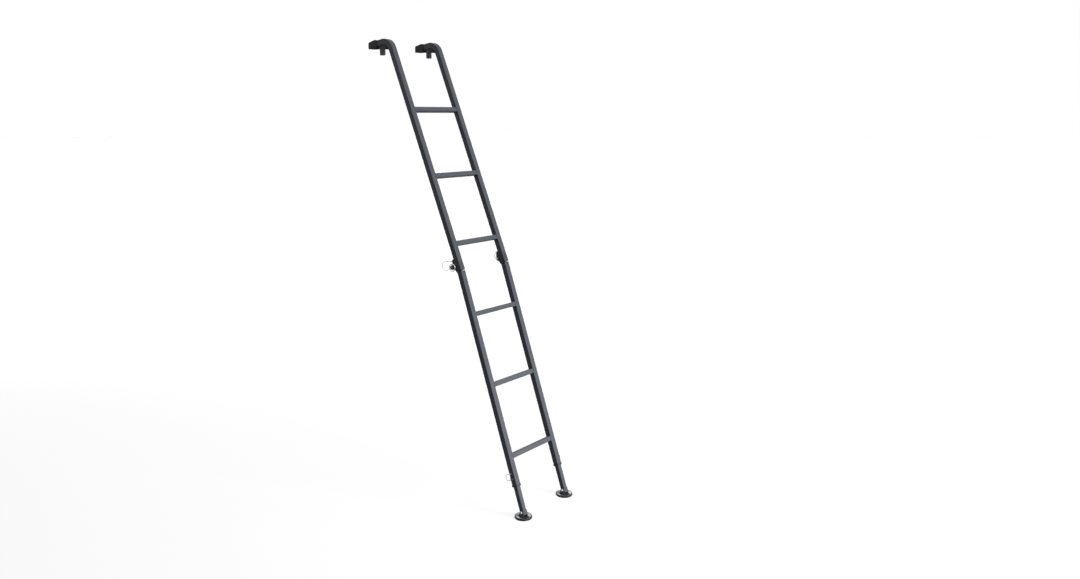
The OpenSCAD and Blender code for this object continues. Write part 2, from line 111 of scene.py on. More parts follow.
# %% [markdown]
# ## The camera
#
# The picture was taken from eye height, nearly four metres away, with a fairly wide
# lens. The camera could be moved by hand until the view looks right, but its place was
# worked out from the ladder's own straight edges, which is closer. The lens points at
# the pixel called SIGHT, and the small shift that this takes stands for the crop of the
# picture. The focus is deep.

# %% Camera
PICTURE = (1080, 579)
SIGHT = (517.9, 254.78)
FOCAL_PIXELS = 844.44
CAMERA_PLACE = (-2.4777, -2.9055, -0.2792)
LOOK_DOWN, LOOK_RIGHT = 9.438, 49.81

lens = bpy.data.cameras.new("camera")
lens.sensor_width = 36
lens.lens = FOCAL_PIXELS * lens.sensor_width / PICTURE[0]
lens.shift_x = (PICTURE[0] / 2 - SIGHT[0]) / PICTURE[0]
lens.shift_y = -(PICTURE[1] / 2 - SIGHT[1]) / PICTURE[0]
lens.dof.use_dof = False
camera = bpy.data.objects.new("camera", lens)
camera.location = CAMERA_PLACE
camera.rotation_euler = (math.radians(90 - LOOK_DOWN), 0, math.radians(-LOOK_RIGHT))
bpy.context.scene.collection.objects.link(camera)
bpy.context.scene.camera = camera
print("lens", round(lens.lens, 2), "mm, shift", round(lens.shift_x, 4), round(lens.shift_y, 4))

# %% [markdown]
# ## Keeping a piece
#
# Each new piece is shaped in a bmesh in millimetres, in the directions of the half
# that it sits on. Its place then goes into the mesh, so the object itself stays at the
# origin. A mirrored place turns the faces inside out, so they are turned back. Faces
# are smooth up to a sharp edge, but one with many corners, such as a boot's side, is
# flat on the real piece, and smoothing it would leave streaks.

# %% Finished pieces
FLAT_FROM = 9
SHARP_EDGE = math.radians(35)


def keep(name, shape, place, finish, body, replaces=()):
    """Turns a bmesh into a finished piece that rides on a body."""
    bmesh.ops.transform(shape, matrix=place, verts=shape.verts)
    if place.determinant() < 0:
        bmesh.ops.reverse_faces(shape, faces=shape.faces)
    for face in shape.faces:
        face.smooth = len(face.verts) < FLAT_FROM
    mesh = bpy.data.meshes.new(name)
    shape.to_mesh(mesh)
    shape.free()
    mesh.set_sharp_from_angle(angle=SHARP_EDGE)
    mesh.materials.append(finish)
    piece = bpy.data.objects.new(name, mesh)
    bpy.context.scene.collection.objects.link(piece)
    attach(piece, body)
    if replaces:
        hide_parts(*replaces)
    return piece


print("edges count as sharp from", round(math.degrees(SHARP_EDGE)), "degrees")

# %% [markdown]
# ## Shader sums
#
# A finish is mostly sums on patterns: more of this where that is high. Each Math node
# could be made and linked by itself, but such sums get long and hard to read, so a
# small class wraps a socket, and an ordinary Python expression on it adds the nodes.

# %% Values that vary over a surface
class Value:
    """A socket that can be added, multiplied and so on."""

    def __init__(self, finish, socket):
        self.finish = finish
        self.socket = socket

    def __add__(self, other):
        return self.finish.maths("ADD", self, other)

    def __sub__(self, other):
        return self.finish.maths("SUBTRACT", self, other)

    def __rsub__(self, other):
        return self.finish.maths("SUBTRACT", other, self)

    def __mul__(self, other):
        return self.finish.maths("MULTIPLY", self, other)

    def __abs__(self):
        return self.finish.maths("ABSOLUTE", self)

    __radd__ = __add__
    __rmul__ = __mul__


print("sums on sockets:", [name for name in vars(Value) if name.startswith("__r")])

# %% [markdown]
# A finish holds one material. It could be put together by hand in the shader editor,
# but a script gives the same result each time. The `node` method makes any node from
# its type, its settings and the values or links of its sockets, and the other methods
# are the few patterns that the ladder's finishes share. Only colour, roughness, metal
# and the surface's small bumps vary, so the finishes can be baked for other programs.

# %% A finish under construction
class Finish:
    """One material or world, and the few ways in which its nodes are made."""

    def __init__(self, name, shelf=bpy.data.materials, shader="Principled BSDF"):
        self.material = shelf.new(name)
        self.material.use_nodes = True
        self.tree = self.material.node_tree
        self.shader = self.tree.nodes[shader]
        self.spot = None

    @property
    def place(self):
        """Where a point is, in the object's own directions."""
        self.spot = self.spot or self.node("ShaderNodeTexCoord", {}, {}, "Object")
        return self.spot

    def fill(self, socket, content):
        """Links a socket to a value, or sets it to a constant."""
        if isinstance(content, Value):
            self.tree.links.new(content.socket, socket)
        else:
            socket.default_value = content

    def node(self, kind, settings, sockets, out=0):
        """Any node: its settings first, then the values or links of its sockets."""
        made = self.tree.nodes.new(kind)
        for name, setting in settings.items():
            setattr(made, name, setting)
        for key, content in dict(sockets).items():
            self.fill(made.inputs[key], content)
        return Value(self, made.outputs[out])

    def maths(self, operation, *parts):
        """A Math node on the given values, such as MAXIMUM."""
        return self.node("ShaderNodeMath", {"operation": operation}, enumerate(parts))

    def noise(self, scale, detail=3, roughness=0.5, place=None):
        """Cloudy noise with about scale blotches to the metre."""
        sockets = {"Scale": scale, "Detail": detail, "Roughness": roughness}
        return self.node("ShaderNodeTexNoise", {}, {"Vector": place or self.place, **sockets})

    def long_in_x(self, share):
        """The place with X squeezed, so that a pattern on it runs long along the rungs."""
        return self.node("ShaderNodeMapping", {}, {"Vector": self.place, "Scale": (share, 1, 1)})

    def between(self, value, low, high):
        """0 below low, 1 above high and smooth between them."""
        return self.node(
            "ShaderNodeMapRange",
            {"interpolation_type": "SMOOTHSTEP"},
            {"Value": value, "From Min": low, "From Max": high},
        )

    def blend(self, share, low, high):
        """One colour turning into another as share goes from 0 to 1."""
        colours = [c if isinstance(c, Value) else (*c, 1) for c in (low, high)]
        return self.node(
            "ShaderNodeMix",
            {"data_type": "RGBA"},
            [("Factor", share), (6, colours[0]), (7, colours[1])],
            out=2,
        )

    def shades(self, share, colour, low, high):
        """A colour that goes from one brightness of itself to another."""
        return self.blend(share, *(tuple(level * c for c in colour) for level in (low, high)))

    def parts(self, vector):
        """The X, Y and Z of a vector."""
        split = self.node("ShaderNodeSeparateXYZ", {}, {"Vector": vector}).socket.node
        return [Value(self, out) for out in split.outputs]

    def from_pin(self, half):
        """Outward from the nearer rail's middle, back from the pin and up, in metres."""
        turned = self.node(
            "ShaderNodeMapping",
            {"vector_type": "TEXTURE"},
            {"Vector": self.place, "Location": PIN, "Rotation": (-LEAN[half], 0, 0)},
        )
        x, y, z = self.parts(turned)
        return abs(x) - PIN.x, y, z

    def surface(self, bump=None, height=1.0, **sockets):
        """Fills the shader: Base_Color becomes the socket Base Color, and so on."""
        for name, content in sockets.items():
            socket = self.shader.inputs[name.replace("_", " ")]
            if socket.type == "RGBA" and not isinstance(content, Value):
                content = (*content, 1)
            self.fill(socket, content)
        if bump is not None:
            sockets = {"Height": bump, "Strength": 1.0, "Distance": height * MM}
            self.fill(self.shader.inputs["Normal"], self.node("ShaderNodeBump", {}, sockets))
        return self.material


print("ways to make a finish:", [name for name in vars(Finish) if name[0] != "_"])

# %% [markdown]
# ## The wire lanyards
#
# Each of the four pins hangs on a short steel wire, so that it can't be lost. They
# are the only flexible things on the ladder, so they are made first. A lanyard of this
# kind is a stranded cable about 1.6 mm thick, springy enough to stand away in a loop,
# with a crimped sleeve at each end. A round tube with a twisted bump would look like
# strands only from afar. Here the route is a few points joined by one smooth curve, and
# a rim with six lobes is pushed along it and turned a little at each step, so the
# strands are there in the mesh.

# %% Routes
WIRE_D = 1.6
ROUTES = {
    "hinge": ("upper_half", [
        (15.5, -4, 25), (17, -4, 25), (20.8, -3, 25.2), (23.5, -0.2, 26.2), (24.6, 4, 27.6),
        (25.2, 14, 31.5), (25.8, 27, 34.5), (26.4, 40, 33), (27, 48, 25), (27.8, 49, 14),
        (29, 42, 4), (31, 31, -1.5), (34, 18, -4), (35.4, 8, -3), (34.4, 4, -1.5),
        (31.8, 1, -0.4), (28, 0, 0), (26.5, 0, 0)]),
    "leg": ("lower_half", [
        (15.5, -23.5, -876), (17, -23.5, -876), (20.8, -22.5, -875.8), (23.5, -19.8, -875.3),
        (24.6, -16, -875), (25, -10, -875.6), (25.5, -5, -879), (26, -2.6, -885),
        (26.6, -3.4, -892), (28, -8, -897), (30, -13, -899), (30.4, -16.5, -899),
        (29.4, -20, -898.6), (26.8, -22.6, -898.2), (23, -23.5, -898), (21.5, -23.5, -898)]),
}


def bend_point(a, b, c, d, t):
    """A point between b and c on a smooth curve past a, b, c and d."""
    return 0.5 * (
        2 * b + (c - a) * t + (2 * a - 5 * b + 4 * c - d) * t**2 + (3 * b - a - 3 * c + d) * t**3
    )


def smooth_route(route, steps):
    """The route's points with steps - 1 more between each two, on one smooth curve."""
    points = [Vector(route[0]), *map(Vector, route), Vector(route[-1])]
    runs = zip(points, points[1:], points[2:], points[3:])
    line = [bend_point(*run, i / steps) for run in runs for i in range(steps)]
    return [*line, points[-1]]


def evenly(line, step):
    """Points at an even distance along a line, its two ends among them."""
    lengths = [0.0]
    for a, b in zip(line, line[1:]):
        lengths.append(lengths[-1] + (b - a).length)
    count = round(lengths[-1] / step)
    points, leg = [], 0
    for i in range(count + 1):
        far = lengths[-1] * i / count
        while leg < len(line) - 2 and lengths[leg + 1] < far:
            leg += 1
        share = (far - lengths[leg]) / (lengths[leg + 1] - lengths[leg])
        points.append(line[leg].lerp(line[leg + 1], share))
    return points


print("points on the routes:", {kind: len(route) for kind, (_, route) in ROUTES.items()})

# %% [markdown]
# ## Pushing a rim along a route
#
# A wire, a weld bead and a fluted knob are all one rim pushed along a line, so one
# helper makes them. At each step the rim is extruded, turned to the line's new
# direction, and may also turn round the line or swell. A curve with a bevel would be
# quicker, but it can't have lobes that turn.

# %% Rim along a line
def only(kind, parts):
    """The parts that are of one kind, such as corners or edges."""
    return [part for part in parts if isinstance(part, kind)]


def sweep(line, rim_r, sides, closed=False, lobes=0, depth=0.16, turn=0.0, swell=None):
    """A tube along a line, whose rim turns by an angle and swells by a share at each step."""
    shape = bmesh.new()
    ahead = [(b - a).normalized() for a, b in zip(line, line[1:] + line[:1])]
    if not closed:
        ahead[-1] = ahead[-2]
    rim = bmesh.ops.create_circle(shape, segments=sides, radius=rim_r)["verts"]
    for i, corner in enumerate(rim):
        if lobes and i % (sides // lobes) == 0:
            corner.co *= 1 - depth
    stand = Vector((0, 0, 1)).rotation_difference(ahead[0]).to_matrix().to_4x4()
    bmesh.ops.transform(shape, matrix=Matrix.Translation(line[0]) @ stand, verts=rim)
    edges = first = list(shape.edges)
    swell = swell or [1.0] * len(line)
    for i in range(1, len(line)):
        made = bmesh.ops.extrude_edge_only(shape, edges=edges)["geom"]
        edges, rim = only(bmesh.types.BMEdge, made), only(bmesh.types.BMVert, made)
        follow = ahead[i - 1].rotation_difference(ahead[i]).to_matrix().to_4x4()
        step = (
            Matrix.Translation(line[i])
            @ Matrix.Rotation(turn, 4, ahead[i])
            @ follow
            @ Matrix.Scale(swell[i] / swell[i - 1], 4)
            @ Matrix.Translation(-line[i - 1])
        )
        bmesh.ops.transform(shape, matrix=step, verts=rim)
    if closed:
        bmesh.ops.bridge_loops(shape, edges=[*first, *edges])
    else:
        for end in (first, edges):
            bmesh.ops.edgeloop_fill(shape, edges=end)
    bmesh.ops.recalc_face_normals(shape, faces=shape.faces)
    return shape


# %% [markdown]
# ## Turning, joining and moving
#
# Most of the small parts are turned on a lathe, so a drawing of half their section is
# spun round an axis in the same way. Several shapes that belong to one piece, such as
# the rivet heads of a rail, are moved to their places and joined into one mesh.

# %% Lathe and joiner
LATHE_STEPS = 32


def spun(shape, steps):
    """A drawing spun once round X, with its seam and its poles closed."""
    bmesh.ops.spin(
        shape, geom=[*shape.verts, *shape.edges], cent=(0, 0, 0), axis=(1, 0, 0),
        angle=2 * math.pi, steps=steps, use_merge=True,
    )
    bmesh.ops.remove_doubles(shape, verts=shape.verts, dist=1e-4)
    bmesh.ops.recalc_face_normals(shape, faces=shape.faces)
    return shape


def turned(profile, steps=LATHE_STEPS):
    """A piece turned on a lathe round X, from a profile of (radius, place)."""
    shape = bmesh.new()
    corners = [shape.verts.new((place, radius, 0)) for radius, place in profile]
    for pair in zip(corners, corners[1:]):
        shape.edges.new(pair)
    return spun(shape, steps)


def join(shapes):
    """Several bmeshes as one."""
    whole = bmesh.new()
    for shape in shapes:
        mesh = bpy.data.meshes.new("part")
        shape.to_mesh(mesh)
        shape.free()
        whole.from_mesh(mesh)
        bpy.data.meshes.remove(mesh)
    return whole


def moved(shape, x=0, y=0, z=0, turn=None):
    """A bmesh turned and then moved, in millimetres."""
    matrix = Matrix.Translation((x, y, z)) @ (turn or Matrix.Identity(4))
    bmesh.ops.transform(shape, matrix=matrix, verts=shape.verts)
    return shape


HALF_TURN = Matrix.Rotation(math.pi, 4, "Z")
UPRIGHT = Matrix.Rotation(math.radians(-90), 4, "Y")
print("a turned piece has", LATHE_STEPS, "sides unless it says otherwise")

# %% [markdown]
# ## Wire and sleeves
#
# The wire is dark in the picture, so its stainless strands get a dark skin of grime that
# has rubbed off in places, and are half metal. The crimped sleeves are soft grey
# aluminium with a dull skin, and as metal they give their colour to the reflections.

# %% Wire and sleeve finishes
def wire_finish():
    wire = Finish("wire")
    grime = wire.noise(260, 4)
    bare = wire.between(grime, 0.35, 0.7)
    return wire.surface(
        Base_Color=wire.blend(bare, (0.035, 0.036, 0.04), (0.075, 0.077, 0.08)),
        Roughness=0.3 + 0.2 * grime,
        Metallic=0.5,
    )


def sleeve_finish():
    sleeve = Finish("sleeve")
    skin = sleeve.noise(900, 3)
    return sleeve.surface(
        Base_Color=sleeve.blend(skin, (0.5, 0.5, 0.51), (0.66, 0.66, 0.67)),
        Roughness=0.42 + 0.15 * skin,
        Metallic=1.0,
        bump=skin,
        height=0.05,
    )


wire_look, sleeve_look = wire_finish(), sleeve_finish()
print("wire nodes:", len(wire_look.node_tree.nodes))

# %% Lanyards
STRANDS, SIDES_PER_STRAND = 6, 3
STEP, TURN_PER_STEP = 0.8, math.radians(24)
WIRE_R = WIRE_D / 2
SLEEVE = [(WIRE_R, 1), (1.5, 1), (1.7, 1.3), (1.7, 5.7), (1.5, 6), (WIRE_R, 6)]
for kind, (half, route) in ROUTES.items():
    centre = smooth_route(route, 2)
    fine = evenly(smooth_route(route, 24), STEP)
    for side in SIDES:
        place = half_place(half, side)
        path = [place @ point for point in centre]
        length = sum((b - a).length for a, b in zip(path, path[1:]))
        sleeves = []
        for end in (centre[:3], centre[:-4:-1]):
            along = (end[1] - end[0]).normalized()
            face = Vector((1, 0, 0)).rotation_difference(along).to_matrix().to_4x4()
            sleeves.append(moved(turned(SLEEVE, steps=16), *end[0], turn=face))
        name = f"{kind}_lanyard_{side}"
        sleeve = keep(name + "_sleeves", join(sleeves), place, sleeve_look, half)
        cable = sweep(
            fine, WIRE_R, STRANDS * SIDES_PER_STRAND, lobes=STRANDS, turn=TURN_PER_STEP
        )
        lanyard = keep(name + "_cable", cable, place, wire_look, half, [name])
        print(name, "is", round(length * 1000), "mm long,", len(lanyard.data.polygons), "faces")

# %% [markdown]
# ## Black powder coat
#
# Powder coat melts into a skin with tiny waves, like orange peel. It has a satin
# sheen, a little unevenness, and wears thin along sharp corners. Noise of about a
# millimetre makes the waves, and slow noise shifts the sheen. The worn corners are
# lighter, which also paints a faint highlight along them. They could be drawn on each
# rail, but here they are found by their distance from the rail's middle, in the
# leaning directions of each half, which serves every rail at once. Where a rail meets
# its knuckle, a dark line about a millimetre wide marks the joint, and its darkness is
# painted shade in the gap.

# %% Powder coat
# The third colour is near black: painted shade in the joint line.
COAT, WORN_AND_HIGHLIT, SEAM_SHADE = (0.058, 0.067, 0.086), (0.17, 0.18, 0.2), (0.008, 0.009, 0.01)
COAT_WAVES, COAT_PATCHES, COAT_WAVE_HEIGHT = (700, 2), (14, 4), 0.06
SEAM_RISE = {"upper_half": 18, "lower_half": -26.4}
LEG_HALF = 10


def powder_coat(name, half, tube_half):
    """The coat of a square tube, from half the tube's width in millimetres."""
    coat = Finish(name)
    waves, patches = coat.noise(*COAT_WAVES), coat.noise(*COAT_PATCHES)
    out, back, up = coat.from_pin(half)
    edge = ((tube_half - 1.4) * MM, (tube_half - 0.2) * MM)
    corner = coat.between(abs(out), *edge) * coat.between(abs(back - RAIL_BACK * MM), *edge)
    # Corners rubbed thin are lighter: wear, which also paints a faint highlight along them.
    rubbed_and_highlit = coat.between(coat.noise(60, 5), 0.45, 0.75) * corner
    # A dark line of painted shade in the gap where a rail meets its knuckle.
    joint_shade = 1 - coat.between(abs(up - SEAM_RISE[half] * MM), 0.3 * MM, 0.7 * MM)
    skin = coat.blend(0.6 * rubbed_and_highlit, coat.shades(patches, COAT, 0.9, 1.12), WORN_AND_HIGHLIT)
    return coat.surface(
        Base_Color=coat.blend(0.75 * joint_shade, skin, SEAM_SHADE),
        Roughness=0.44 + 0.16 * patches,
        bump=waves,
        height=COAT_WAVE_HEIGHT,
    )


rail_coats = {
    half: powder_coat(half.replace("half", "powder_coat"), half, RAIL_HALF) for half in LEAN
}
leg_coat = powder_coat("leg_powder_coat", "lower_half", LEG_HALF)
print("coats:", [coat.name for coat in (*rail_coats.values(), leg_coat)])

# %% [markdown]
# ## Treads
#
# The rungs carry the same coat, but shoes polish their treads. Each rung could have a
# finish of its own. Instead the height above the first rung is folded back and forth
# over the rungs' spacing, which gives the distance from the nearest rung's middle, so
# one finish serves a whole half. The wear is strongest in the middle, where feet land.

# %% Treads
RUNG_DEPTH, RUNG_HEIGHT, RUNG_ROUND = 22, 20, 2.5
RUNG_SPACING = 300
RUNG_RISES = {"upper_half": (93, 393, 693), "lower_half": (-210, -510, -810)}
FEET_LAND, FEET_MISS = 40, 110


def tread_coat(half):
    """The rails' coat with a tread that is polished in the middle."""
    coat = Finish(half.replace("half", "tread"))
    waves, patches = coat.noise(*COAT_WAVES), coat.noise(*COAT_PATCHES)
    out, _, up = coat.from_pin(half)
    rise = up - RUNG_RISES[half][0] * MM
    from_rung = coat.maths("PINGPONG", rise, RUNG_SPACING * MM / 2)
    face = RUNG_HEIGHT / 2
    on_tread = coat.between(from_rung, (face - 0.8) * MM, (face - 0.2) * MM)
    worn = on_tread * coat.between(out + PIN.x, FEET_MISS * MM, FEET_LAND * MM)
    scuffs = coat.between(coat.noise(90, 5, place=coat.long_in_x(0.25)), 0.42, 0.72)
    return coat.surface(
        Base_Color=coat.blend(0.45 * worn * scuffs, coat.shades(patches, COAT, 0.95, 1.15), WORN_AND_HIGHLIT),
        Roughness=0.42 + 0.14 * patches - 0.1 * worn,
        bump=waves,
        height=COAT_WAVE_HEIGHT,
    )


treads = {half: tread_coat(half) for half in LEAN}
print("treads:", [tread.name for tread in treads.values()])

# %% [markdown]
# ## Cast and moulded parts
#
# The knuckles are die-cast and dipped black, a little glossier and grainier than the
# rails. The knobs, the bushes and the rubber differ mainly in how they shine: nylon is
# satin with fine moulding grain, and rubber is dull, with dust in its pores. So one
# helper with a few numbers makes all three, and no picture has to be wrapped on.

# %% Cast, plastic and rubber
DUST = (0.2, 0.2, 0.2)


def grained(name, colour, rough, grain_scale, grain_height, dusty=0.0):
    """A moulded or cast skin, with dust where its patches are high."""
    skin = Finish(name)
    grain, patches = skin.noise(grain_scale, 4, 0.6), skin.noise(22, 4)
    dust = dusty * skin.between(patches, 0.4, 0.8)
    return skin.surface(
        Base_Color=skin.blend(dust, skin.shades(patches, colour, 0.85, 1.2), DUST),
        Roughness=rough + 0.15 * patches,
        bump=grain,
        height=grain_height,
    )


cast_black = grained("cast_black", (0.038, 0.043, 0.056), 0.38, 1100, 0.12)
rubber = grained("rubber", (0.018, 0.018, 0.019), 0.62, 1500, 0.1, dusty=0.12)
nylon = grained("nylon", (0.03, 0.031, 0.033), 0.45, 1800, 0.05, dusty=0.05)
print("grained skins:", [skin.name for skin in (cast_black, rubber, nylon)])

# %% [markdown]
# ## Steel
#
# The ankle bolts and the studs are zinc-plated steel. Plain metal with one roughness
# looks like chrome, so fine drawing marks and a slightly blue, blotchy plating break it
# up. The pull rings and the pins' detent balls are brighter stainless steel.

# %% Plated steel
def plated(name, colour):
    """Drawn and plated steel of one colour."""
    metal = Finish(name)
    blotch, marks = metal.noise(120, 5), metal.noise(900, 2, place=metal.long_in_x(0.15))
    return metal.surface(
        Base_Color=metal.shades(blotch, colour, 0.8, 1),
        Roughness=0.24 + 0.2 * blotch,
        Metallic=1.0,
        bump=marks,
        height=0.04,
    )


steel = plated("plated_steel", (0.66, 0.67, 0.69))
bright_steel = plated("bright_steel", (0.86, 0.87, 0.88))
print("steels:", steel.name, bright_steel.name)

# %% [markdown]
# ## Pins
#
# A quick-release pin is a bright steel shank with a black knob moulded on its end. In
# the CAD model it is one solid, so it can't be given two materials by piece. The
# distance from the rail's middle tells steel from plastic instead.

# %% Pins
def pin_finish(name, half):
    """Bright steel up to the rail's face and black plastic beyond."""
    pin = Finish(name)
    out = pin.from_pin(half)[0]
    plastic = pin.between(out, (RAIL_HALF + 0.2) * MM, (RAIL_HALF + 0.4) * MM)
    grain, blotch = pin.noise(1600, 3), pin.noise(120, 5)
    bright = pin.blend(blotch, (0.5, 0.51, 0.52), (0.66, 0.67, 0.68))
    dark = pin.blend(blotch, (0.02, 0.02, 0.022), (0.035, 0.035, 0.037))
    return pin.surface(
        Base_Color=pin.blend(plastic, bright, dark),
        Metallic=1.0 - plastic,
        Roughness=0.26 + 0.14 * plastic + 0.1 * grain,
        bump=grain,
        height=0.05,
    )


hinge_pin_look = pin_finish("hinge_pin", "upper_half")
leg_pin_look = pin_finish("leg_pin", "lower_half")
print("pins:", hinge_pin_look.name, leg_pin_look.name)

# %% [markdown]
# ## Feet
#
# A foot is a pressed steel dish with a fork in its middle. The fork is painted black and
# the rim is black. A black strip before and behind the fork reaches past its base plate,
# and that part is painted shade. The bright plating shows left and right of the fork. The
# foot is one solid too, so the finish changes with the distance from the ankle bolt, and
# the black's edge can be placed to a fraction of a millimetre.

# %% Foot finish
ANKLE = Vector(joints["foot_swivel_left"]["pos_m"])
DARK_OUT, DARK_AHEAD = 13.7, 26.5
BRIGHT_R, DARK_EDGE = 31.6, 0.3


def foot_finish():
    foot = Finish("foot")
    x, y, _ = foot.parts(foot.place)
    out, ahead = abs(x - PIN.x) - PIN.x, y - ANKLE.y
    # Black across the fork's width, before and behind it; past the base plate this black is painted
    # shade.
    beside, before = abs(out) - DARK_OUT * MM, abs(ahead) - DARK_AHEAD * MM
    past_dark = foot.maths("MAXIMUM", beside, before)
    rim = (((BRIGHT_R + way * DARK_EDGE) * MM) ** 2 for way in (-1, 1))
    inside = 1 - foot.between(out * out + ahead * ahead, *rim)
    dish = inside * foot.between(past_dark, 0, DARK_EDGE * MM)
    blotch, scratches = foot.noise(90, 5), foot.noise(400, 3)
    bright = foot.blend(blotch, (0.3, 0.31, 0.32), (0.5, 0.51, 0.52))
    return foot.surface(
        Base_Color=foot.blend(dish, (0.03, 0.032, 0.036), bright),
        Metallic=dish,
        Roughness=0.34 + 0.2 * blotch,
        bump=scratches,
        height=0.05,
    )


foot_look = foot_finish()
print("foot nodes:", len(foot_look.node_tree.nodes))

# %% [markdown]
# ## Finishes on the CAD parts
#
# The packed parts are left where they are, and only get a material. Their names are the
# same on both sides, so one table without the side serves them all.

# %% Finishes on the CAD parts
LOOKS = {
    "upper_rail": rail_coats["upper_half"], "hook": rail_coats["upper_half"],
    "lower_rail": rail_coats["lower_half"], "leg": leg_coat, "rail_bush": nylon,
    "upper_knuckle": cast_black, "lower_knuckle": cast_black, "hook_bumper": rubber,
    "hook_boot": rubber, "foot_sole": rubber, "foot": foot_look, "ankle_bolt": steel,
    "lanyard_stud": steel, "pull_ring": bright_steel, "hinge_pin": hinge_pin_look,
    "leg_pin": leg_pin_look, "top_rung": treads["upper_half"],
    "second_rung": treads["upper_half"], "third_rung": treads["upper_half"],
    "fourth_rung": treads["lower_half"], "fifth_rung": treads["lower_half"],
    "sixth_rung": treads["lower_half"],
}
for name, node in nodes.items():
    look = LOOKS.get(name.removesuffix("_left").removesuffix("_right"))
    if look:
        node.data.materials.clear()
        node.data.materials.append(look)
print("finished CAD parts:", sum(bool(node.data.materials) for node in nodes.values()))

# %% [markdown]
# ## Rivets
#
# Domed rivets through each rail hold the knuckle's plug. A squashed ball would hide
# half its faces in the rail, so a head is a quarter of a flattened circle, turned round
# its axis. It starts a tenth of a millimetre inside the rail, so that no gap shows.

# %% Rivets
RIVET_R, RIVET_H, SUNK = 4, 1.5, 0.1
RIVET_RISES = {"upper_half": (35, 108), "lower_half": (-35, -108)}


def dome(radius, height, start, steps):
    """A shallow dome turned round X, standing on a place along X."""
    angles = [math.radians(15 * i) for i in range(7)]
    return turned([(radius * math.cos(a), start + height * math.sin(a)) for a in angles], steps)


heads_made = 0
for half, rises in RIVET_RISES.items():
    for side in SIDES:
        heads = [
            moved(dome(RIVET_R, RIVET_H, RAIL_HALF - SUNK, steps=20), 0, RAIL_BACK, rise, face)
            for rise in rises for face in (None, HALF_TURN)
        ]
        heads_made += len(heads)
        place = half_place(half, side)
        keep(f"rivets_{half}_{side}", join(heads), place, rail_coats[half], half)
print("rivet heads:", heads_made)

# %% [markdown]
# ## Weld beads
#
# Each rung is welded to the rails all round. A weld bead is a row of small puddles
# that froze one after another. A bump in the coat would leave its edge straight, so a
# thin tube runs round the rung's outline and swells and shrinks about every two
# millimetres.

# %% Outlines with round corners
def arc(y, z, radius, start, steps=7):
    """A quarter of a circle in Y and Z, from a starting angle."""
    angles = [math.radians(start + 90 * i / steps) for i in range(steps + 1)]
    return [(y + radius * math.cos(a), z + radius * math.sin(a)) for a in angles]


def rounded(y, z, radius, steps):
    """Points round a rectangle with round corners, whose middles are at y and z."""
    corners = ((y, z, 0), (-y, z, 90), (-y, -z, 180), (y, -z, 270))
    quarters = [arc(*middle, radius, start, steps) for *middle, start in corners]
    return [Vector((0, *point)) for quarter in quarters for point in quarter]


def filled_in(line, step):
    """A closed line with points added, until none is much further than step from the next."""
    fine = []
    for a, b in zip(line, line[1:] + line[:1]):
        count = max(1, round((b - a).length / step))
        fine += [a.lerp(b, k / count) for k in range(count)]
    return fine


POINT_STEP = 0.75
corner_y, corner_z = RUNG_DEPTH / 2 - RUNG_ROUND, RUNG_HEIGHT / 2 - RUNG_ROUND
outline = filled_in(rounded(corner_y, corner_z, RUNG_ROUND, steps=5), POINT_STEP)
print("points round a rung:", len(outline))

# %% Weld beads
BEAD_R, RIPPLE, POINTS_PER_PUDDLE = 1.5, 0.18, 2.6
ripple = [
    1 + RIPPLE * math.sin(2 * math.pi * i / POINTS_PER_PUDDLE) for i in range(len(outline))
]
beads_made = 0
for half, rises in RUNG_RISES.items():
    for side in SIDES:
        beads = [
            moved(sweep(outline, BEAD_R, 8, closed=True, swell=ripple), -RAIL_HALF, RAIL_BACK, rise)
            for rise in rises
        ]
        beads_made += len(beads)
        place = half_place(half, side)
        keep(f"weld_beads_{half}_{side}", join(beads), place, rail_coats[half], half)
print("weld beads:", beads_made, "of", round(len(outline) / POINTS_PER_PUDDLE), "puddles")

# %% [markdown]
# ## Pull rings
#
# A hinge pin is pulled out by a steel ring whose bar goes through the knob. The CAD
# model's ring has flat facets, which the bright metal would show. Here the ring is a
# small circle spun round the pin in many steps. The bar is turned, and flares at its
# ends where it is brazed to the ring.

# %% Pull rings
RING_R, RING_WIRE_R, RING_OUT = 15.25, 1.75, 21.5
BAR_END = [(0, 15), (2.3, 15), (1.8, 14), (1.5, 12.6)]


def hoop(ring_r, wire_r):
    """A ring of round wire round X."""
    shape = bmesh.new()
    rim = bmesh.ops.create_circle(shape, segments=20, radius=wire_r)["verts"]
    bmesh.ops.translate(shape, vec=(0, ring_r, 0), verts=rim)
    return spun(shape, steps=72)


for side in SIDES:
    far_end = [(radius, -place) for radius, place in reversed(BAR_END)]
    bar = moved(turned(BAR_END + far_end, steps=20), turn=UPRIGHT)
    ring = moved(join([hoop(RING_R, RING_WIRE_R), bar]), x=RING_OUT)
    keep(f"pull_ring_{side}_turned", ring, half_place("upper_half", side), bright_steel,
         "upper_half", [f"pull_ring_{side}"])
print("pull rings:", 2 * (RING_R + RING_WIRE_R), "mm across")

# %% [markdown]
# ## Grips and detents
#
# The knobs are moulded with fine flutes for cold fingers. Flutes could be cut out with
# cylinders, but the rim that makes a wire's strands makes them cleanly, with more lobes
# and no twist. On its nose a hinge pin has two spring balls that click behind the far
# ear.

# %% Grips and detents
def grip(radius, flutes, stations):
    """A fluted knob along X, from a list of its place and its share of the radius."""
    line = [Vector((place, 0, 0)) for place, _ in stations]
    first = stations[0][1]
    swell = [share / first for _, share in stations]
    return sweep(line, radius * first, 4 * flutes, lobes=flutes, depth=0.05, swell=swell)


def ball(x, z, radius=1.4):
    """A detent ball in a pin's nose."""
    shape = bmesh.new()
    bmesh.ops.create_icosphere(shape, subdivisions=2, radius=radius)
    return moved(shape, x=x, z=z)


